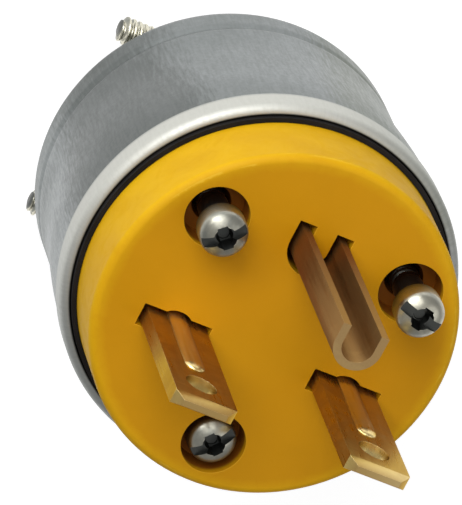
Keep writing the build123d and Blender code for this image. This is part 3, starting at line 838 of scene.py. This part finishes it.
def recessed(tree, start, place, head):
    """Cuts the slot into a head and, if wanted, the tapered arm and the hub of a cross, and marks the cut
    faces for painted shade.
    """
    tall = start["Head Height"]
    deep = start["Slot Depth"] * 2.0
    size = xyz(start["Head Radius"] * 2.4, start["Slot Width"], deep)
    slot = moved_up(put(tree, "GeometryNodeMeshCube", {"Size": size}, "Mesh"), tall)
    size = xyz(start["Slot Width"], start["Cross Length"], deep * 1.7)
    y, z = split(place)[1:]
    taper = xyz(y=y * -0.6 * calc("LESS_THAN", z, 0.0))
    arm = put(tree, "GeometryNodeMeshCube", {"Size": size}, "Mesh")
    arm = moved_up(reshaped(arm, Offset=taper), tall)
    hub_depth = start["Slot Depth"] * 1.9
    sockets = {"Vertices": 24, "Radius Top": start["Cross Length"] * 0.34, "Radius Bottom": 0.55 * MM,
               "Depth": hub_depth}
    hub = put(tree, "GeometryNodeMeshCone", sockets, "Mesh", fill_type="NGON")
    hub = moved_up(hub, tall + 0.05 * MM - hub_depth)

    def cut(body, tool):
        # Painted shade: the faces that the recess cuts are marked fully dark
        sockets = {"Mesh 1": body, "Mesh 2": with_painted_shade(tool, 1.0)}
        return put(tree, "GeometryNodeMeshBoolean", sockets, "Mesh", operation="DIFFERENCE", solver="EXACT")

    slotted = cut(head, slot)
    sockets = {"Switch": start["Cross"], "False": slotted, "True": cut(cut(slotted, arm), hub)}
    return put(tree, "GeometryNodeSwitch", sockets, input_type="GEOMETRY")


def threaded_shank(tree, start, place):
    """Rod below the head, with a thread cut to its chamfered end; it laps a little into the head. It takes
    the given painted shade, and more on its end face.
    """
    overlap = 0.4 * MM
    chamfer = 0.5 * MM
    long = start["Length"] + overlap
    rod = cylinder(tree, 32, start["Rows"], 1, start["Shank Radius"], long, "NGON")
    rod = moved_up(rod, overlap - long * 0.5)
    x, y, z = split(place)
    phase = calc("FRACT", z / start["Pitch"] - calc("ARCTAN2", y, x) / (2 * pi))
    flank = ramp(1.0 - calc("ABSOLUTE", phase * 2.0 - 1.0), 0.12, 0.88)
    groove = flank * calc("DIVIDE", z * -1.0 - start["Plain"], start["Pitch"], clamp=True)
    from_tip = z + start["Length"]
    narrowing = 1.0 - calc("DIVIDE", from_tip, chamfer, clamp=True)
    loss = groove * start["Thread Depth"] + narrowing * chamfer
    factor = 1.0 - loss / start["Shank Radius"]
    shank = shade_by_angle(reshaped(rod, Position=xyz(x * factor, y * factor, z)), 50)
    # Painted shade on the end face of the shank, besides the given level along it
    end_face = 0.9 - from_tip / (0.15 * MM)
    return with_painted_shade(shank, calc("MAXIMUM", start["Grime"], end_face, clamp=True))


def screw_tree():
    """Screws on the points of a piece's mesh, turned by its turn attribute: a domed head with a slot and,
    if wanted, a cross, on a shank with a cut thread."""
    tree, start, end = new_shape_tree("Screws", {
        "Head Radius": 2.35 * MM, "Head Height": 3.0 * MM, "Dome": 0.7 * MM, "Shank Radius": 1.5 * MM,
        "Length": 25.4 * MM, "Pitch": 0.8 * MM, "Thread Depth": 0.4 * MM, "Plain": 1.0 * MM,
        "Slot Width": 0.8 * MM, "Slot Depth": 1.1 * MM, "Cross": False, "Cross Length": 3.1 * MM,
        "Rows": 200, "Grime": 0.0})
    place = put(tree, "GeometryNodeInputPosition")
    head = shade_by_angle(recessed(tree, start, place, domed_head(tree, start, place)), 30)
    screw = joined(head, threaded_shank(tree, start, place))
    turn = put(tree, "GeometryNodeInputNamedAttribute", {"Name": "turn"}, data_type="FLOAT_VECTOR")
    rotation = put(tree, "FunctionNodeEulerToRotation", {0: turn})
    return close_on_points(tree, start, end, screw, Rotation=rotation)


def rivet_tree():
    """Rivets on the points of a piece's mesh: a domed head below, a shank, and a flat head above."""
    tree, start, end = new_shape_tree("Rivets", {
        "Head Radius": 2.2 * MM, "Dome": 1.1 * MM, "Shank Radius": 1.3 * MM, "Grip": 2.15 * MM,
        "Flat Head": 0.8 * MM})
    place = put(tree, "GeometryNodeInputPosition")
    wide = start["Head Radius"]
    dome = moved_up(cylinder(tree, 40, 2, 10, wide, start["Dome"]), start["Dome"] * -0.5)
    rise = calc("POWER", from_axis(place) / wide, 2.4) * (split(place)[2] * -0.92)
    dome = reshaped(dome, Offset=xyz(z=rise))
    shank = moved_up(cylinder(tree, 40, 2, 1, start["Shank Radius"], start["Grip"]), start["Grip"] * 0.5)
    flat = moved_up(cylinder(tree, 40, 2, 4, wide, start["Flat Head"]),
                    start["Grip"] + start["Flat Head"] * 0.5)
    rivet = joined(*[shade_by_angle(mesh, 34) for mesh in (dome, shank, flat)])
    return close_on_points(tree, start, end, rivet)


def seats(name, places, turns):
    """Piece with one point at each place, and the angles at which what is put there is turned."""
    mesh = bpy.data.meshes.new(name)
    mesh.from_pydata(places, [], [])
    attribute = mesh.attributes.new("turn", "FLOAT_VECTOR", "POINT")
    attribute.data.foreach_set("vector", [angle for turn in turns for angle in turn])
    return new_piece(name, mesh)


def middle(node):
    low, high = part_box(node)
    return (low + high) / 2


class PLUG_OT_shell(bpy.types.Operator):
    """Turn the steel shell with its groove, flare and rolled bead"""

    bl_idname = "plug.shell"
    bl_label = "Steel shell"

    def execute(self, context):
        shape = context.scene.plug_shape
        points = [(x * MM, 0.0, z * MM) for x, z in shell_outline(shape)]
        mesh = bpy.data.meshes.new("shell")
        mesh.from_pydata(points, [(i, (i + 1) % len(points)) for i in range(len(points))], [])
        piece = new_piece("shell", mesh)
        grow(piece, lathe_tree(), {"Facets": shape.turns, "Material": finish("shell_steel")})
        hand_over(piece, "shell_steel", "steel_shell")
        return {"FINISHED"}


class PLUG_OT_bodies(bpy.types.Operator):
    """Round the edges of the yellow front body and the black rear body"""

    bl_idname = "plug.bodies"
    bl_label = "Moulded bodies"

    def execute(self, context):
        front = softened("front_body", "face_body", "yellow_nylon", context.scene.plug_shape.body_edge)
        # The wells and slots take painted shade by their depth
        mark_points(front.data, "hollow", shade_in_wells)
        softened("rear_body", "base_body", "black_phenolic", 0.12 * MM, 2)
        return {"FINISHED"}


class PLUG_OT_pins(bpy.types.Operator):
    """Round the edges of the two blades and the folded ground pin"""

    bl_idname = "plug.pins"
    bl_label = "Pins"

    def execute(self, context):
        width = context.scene.plug_shape.pin_edge
        for side, rubbed in (("left", on_left_blade), ("right", on_right_blade)):
            blade = softened(f"blade_{side}", f"line_blade_{side}", "brass", width)
            # The rib's rubbing and its painted highlight
            mark_points(blade.data, "rubbed", rubbed)
            mark_points(blade.data, "hollow", on_blade_end)
        folded = softened("ground_pin", "folded_ground_pin", "brass", width)
        # Painted shade inside the fold
        mark_points(folded.data, "hollow", shade_in_fold)
        # Painted highlight on the sheared faces
        mark_points(folded.data, "rubbed", sheared_face_highlight)
        # Painted highlight on the legs' edges, through the wear mask
        mark_points(folded.data, "edge", leg_edge_highlight)
        return {"FINISHED"}


class PLUG_OT_long_screws(bpy.types.Operator):
    """Make the three long screws in the face, with combination heads and cut threads"""

    bl_idname = "plug.long_screws"
    bl_label = "Long screws"

    def execute(self, context):
        shape = context.scene.plug_shape
        nodes = ["assembly_screw_left", "assembly_screw_right", "assembly_screw_low"]
        turns = [(0.0, 0.0, radians(angle)) for angle in (42, -12, 50)]
        head = 3.0 * MM
        places = [(middle(node).x, middle(node).y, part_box(node)[1].z - head) for node in nodes]
        piece = seats("long_screws", places, turns)
        grow(piece, screw_tree(), {
            "Head Height": head, "Dome": 1.3 * MM, "Length": 28.6 * MM, "Rows": 286, "Plain": 4.0 * MM,
            "Pitch": shape.long_pitch, "Thread Depth": shape.long_pitch * shape.thread_share,
            "Slot Width": 1.0 * MM, "Slot Depth": 0.85 * MM, "Cross": True, "Cross Length": 3.5 * MM,
            # Strong painted shade on the long screws' shanks, which stand in the wells
            "Grime": 0.85, "Material": finish("zinc_screw")})
        hand_over(piece, "zinc_screw", *nodes)
        return {"FINISHED"}


class PLUG_OT_cord_grip(bpy.types.Operator):
    """Round the edges of the saddle and the strap, and set the saddle's rivets"""

    bl_idname = "plug.cord_grip"
    bl_label = "Cord grip"

    def execute(self, context):
        width = context.scene.plug_shape.strap_edge
        softened("grip_saddle", "saddle", "grip_steel", width, 2)
        softened("grip_strap", "strap", "grip_steel", width, 2)
        nodes = ["foot_rivet_1", "foot_rivet_2"]
        places = [(middle(node).x, middle(node).y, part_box(node)[0].z + 1.1 * MM) for node in nodes]
        piece = seats("foot_rivets", places, [(0.0, 0.0, 0.0)] * 2)
        grow(piece, rivet_tree(), {"Material": finish("zinc_screw")})
        hand_over(piece, "zinc_screw", *nodes)
        return {"FINISHED"}


class PLUG_OT_grip_screws(bpy.types.Operator):
    """Make the two slotted screws across the cord grip, with cut threads"""

    bl_idname = "plug.grip_screws"
    bl_label = "Grip screws"

    def execute(self, context):
        shape = context.scene.plug_shape
        nodes = ["grip_screw_upper", "grip_screw_lower"]
        head = 2.0 * MM
        places = [(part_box(node)[1].x - head, middle(node).y, middle(node).z) for node in nodes]
        level = Matrix.Rotation(radians(90), 3, "Y")
        turns = [(level @ Matrix.Rotation(radians(angle), 3, "Z")).to_euler() for angle in (20, 65)]
        piece = seats("grip_screws", places, turns)
        grow(piece, screw_tree(), {
            "Head Radius": 2.2 * MM, "Head Height": head, "Dome": 0.65 * MM, "Shank Radius": 1.425 * MM,
            "Length": 19.05 * MM, "Rows": 238, "Pitch": shape.grip_pitch,
            "Thread Depth": shape.grip_pitch * shape.thread_share, "Slot Width": 0.9 * MM,
            "Slot Depth": 0.9 * MM, "Material": finish("zinc_screw")})
        hand_over(piece, "zinc_screw", *nodes)
        return {"FINISHED"}


class PLUG_OT_terminals(bpy.types.Operator):
    """Make the binding screws of the terminals and round the edges of their clamp plates"""

    bl_idname = "plug.terminals"
    bl_label = "Terminals"

    def execute(self, context):
        groups = (
            ("terminal_screws_brass", "brass_screw",
             ["terminal_screw_blade_left", "terminal_screw_blade_right"]),
            ("terminal_screw_green", "green_screw", ["terminal_screw_ground"]),
        )
        tree = screw_tree()
        for name, slot, nodes in groups:
            places = [(middle(node).x, middle(node).y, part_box(node)[0].z + 2.0 * MM) for node in nodes]
            turns = [(radians(180), 0.0, radians(30 + 50 * i)) for i in range(len(nodes))]
            piece = seats(name, places, turns)
            grow(piece, tree, {
                "Head Radius": 2.95 * MM, "Head Height": 2.0 * MM, "Dome": 0.65 * MM,
                "Shank Radius": 1.75 * MM, "Length": 5.2 * MM, "Rows": 56, "Plain": 0.3 * MM,
                "Pitch": 0.8 * MM, "Thread Depth": 0.4 * MM, "Slot Width": 0.9 * MM,
                "Slot Depth": 0.9 * MM, "Material": finish(slot)})
            hand_over(piece, slot, *nodes)
        for place in ("blade_left", "blade_right", "ground"):
            softened(f"wire_clamp_{place}", f"clamp_plate_{place}", "brass", 0.1 * MM, 2)
        return {"FINISHED"}


class PLUG_OT_inner_parts(bpy.types.Operator):
    """Finish the lugs, the bonding strip and the fibre insulation"""

    bl_idname = "plug.inner_parts"
    bl_label = "Lugs and insulation"

    def execute(self, context):
        for place in ("left", "right", "low"):
            softened(f"shell_lug_{place}", f"lug_{place}", "grip_steel", 0.12 * MM, 2)
        softened("bonding_strip", "earth_strip", "brass", 0.08 * MM, 2)
        softened("insulating_liner", "fibre_liner", "black_fibre", 0.1 * MM, 2)
        softened("insulating_disc", "fibre_disc", "black_fibre", 0.1 * MM, 2)
        return {"FINISHED"}


class PLUG_OT_stage(bpy.types.Operator):
    """Lay the pale floor, set the soft lamps and place the camera"""

    bl_idname = "plug.stage"
    bl_label = "Stage"

    def execute(self, context):
        values = context.scene.plug_stage
        self.floor(values.floor)
        self.room(context.scene, values.room)
        for name, place, size, key in LAMPS:
            self.lamp(name, place, size, getattr(values, key))
        self.camera(context.scene, values.focal)
        context.scene.view_settings.view_transform = "Standard"
        return {"FINISHED"}

    def floor(self, tone):
        corners = [(x * FLOOR_HALF, y * FLOOR_HALF, 0) for x, y in ((-1, -1), (1, -1), (1, 1), (-1, 1))]
        mesh = bpy.data.meshes.new("floor")
        mesh.from_pydata(corners, [], [(0, 1, 2, 3)])
        floor = new_piece("floor", mesh)
        coat = Coat("floor_paper", Specular_IOR_Level=0.1, Roughness=0.8)
        cloud = coat.pattern("Mottle", Scale=3.0)
        blend(cloud * 0.02, tone, scaled(tone, 0.97)).to(coat.shader.inputs["Base Color"])
        camera, glossy, clear = rays(coat.tree, "Camera", "Glossy", "Transmission")
        seen = larger(larger(camera, glossy), clear)
        glow = put(coat.tree, "ShaderNodeEmission", {"Color": WHITE, "Strength": seen * FLOOR_GLOW})
        put(coat.tree, "ShaderNodeAddShader", {0: coat.surface, 1: glow}).to(coat.output.inputs["Surface"])
        mesh.materials.append(coat.material)

    def room(self, scene, level):
        world = bpy.data.worlds.new("Room")
        scene.world = world
        world.use_nodes = True
        tree = world.node_tree
        tree.nodes.clear()
        camera, glossy = rays(tree, "Camera", "Glossy")
        light = put(tree, "ShaderNodeBackground", {"Color": WHITE, "Strength": level})
        seen = put(tree, "ShaderNodeBackground", {"Color": WHITE, "Strength": 1.0})
        shown = calc("ADD", camera, glossy * ROOM_IN_METAL, clamp=True)
        mixed = put(tree, "ShaderNodeMixShader", {0: shown, 1: light, 2: seen})
        add(tree, "ShaderNodeOutputWorld", {"Surface": mixed})

    def lamp(self, name, place, size, level):
        data = bpy.data.lights.new(name, "AREA")
        data.shape = "DISK"
        data.size = size
        data.energy = level
        lamp = bpy.data.objects.new(name, data)
        bpy.context.scene.collection.objects.link(lamp)
        lamp.location = place
        lamp.rotation_euler = (Vector(LAMP_TARGET) - lamp.location).to_track_quat("-Z", "Y").to_euler()

    def camera(self, scene, focal):
        data = bpy.data.cameras.new("Camera")
        data.sensor_width = 36.0
        data.lens = focal
        data.clip_start = 0.05
        data.clip_end = 20.0
        camera = bpy.data.objects.new("Camera", data)
        scene.collection.objects.link(camera)
        right = Vector(CAMERA_RIGHT).normalized()
        back = Vector(CAMERA_BACK)
        back = (back - right * back.dot(right)).normalized()
        turn = Matrix((right, back.cross(right), back)).transposed().to_4x4()
        camera.matrix_world = Matrix.Translation(CAMERA_PLACE) @ turn
        scene.camera = camera


class PLUG_PT_panel(bpy.types.Panel):
    """Sizes, finishes and pieces of the plug"""

    bl_label = "Three-pin plug"
    bl_idname = "PLUG_PT_panel"
    bl_space_type = "VIEW_3D"
    bl_region_type = "UI"
    bl_category = "Plug"

    def draw(self, context):
        for group in (context.scene.plug_shape, context.scene.plug_finish, context.scene.plug_stage):
            box = self.layout.box()
            for key in group.bl_rna.properties.keys():
                if key not in ("rna_type", "name"):
                    box.prop(group, key)
        for operator in OPERATORS:
            self.layout.operator(operator.bl_idname)


OPERATORS = (PLUG_OT_shell, PLUG_OT_bodies, PLUG_OT_pins, PLUG_OT_long_screws, PLUG_OT_cord_grip,
             PLUG_OT_grip_screws, PLUG_OT_terminals, PLUG_OT_inner_parts, PLUG_OT_stage)
CLASSES = (PlugShape, PlugFinish, PlugStage, *OPERATORS, PLUG_PT_panel)


def register():
    for item in CLASSES:
        bpy.utils.register_class(item)
    bpy.types.Scene.plug_shape = PointerProperty(type=PlugShape)
    bpy.types.Scene.plug_finish = PointerProperty(type=PlugFinish)
    bpy.types.Scene.plug_stage = PointerProperty(type=PlugStage)


def unregister():
    del bpy.types.Scene.plug_stage
    del bpy.types.Scene.plug_finish
    del bpy.types.Scene.plug_shape
    for item in reversed(CLASSES):
        bpy.utils.unregister_class(item)


def main():
    register()
    bpy.ops.plug.shell()
    bpy.ops.plug.bodies()
    bpy.ops.plug.pins()
    bpy.ops.plug.long_screws()
    bpy.ops.plug.cord_grip()
    bpy.ops.plug.grip_screws()
    bpy.ops.plug.terminals()
    bpy.ops.plug.inner_parts()
    bpy.ops.plug.stage()


if __name__ == "__main__":
    main()
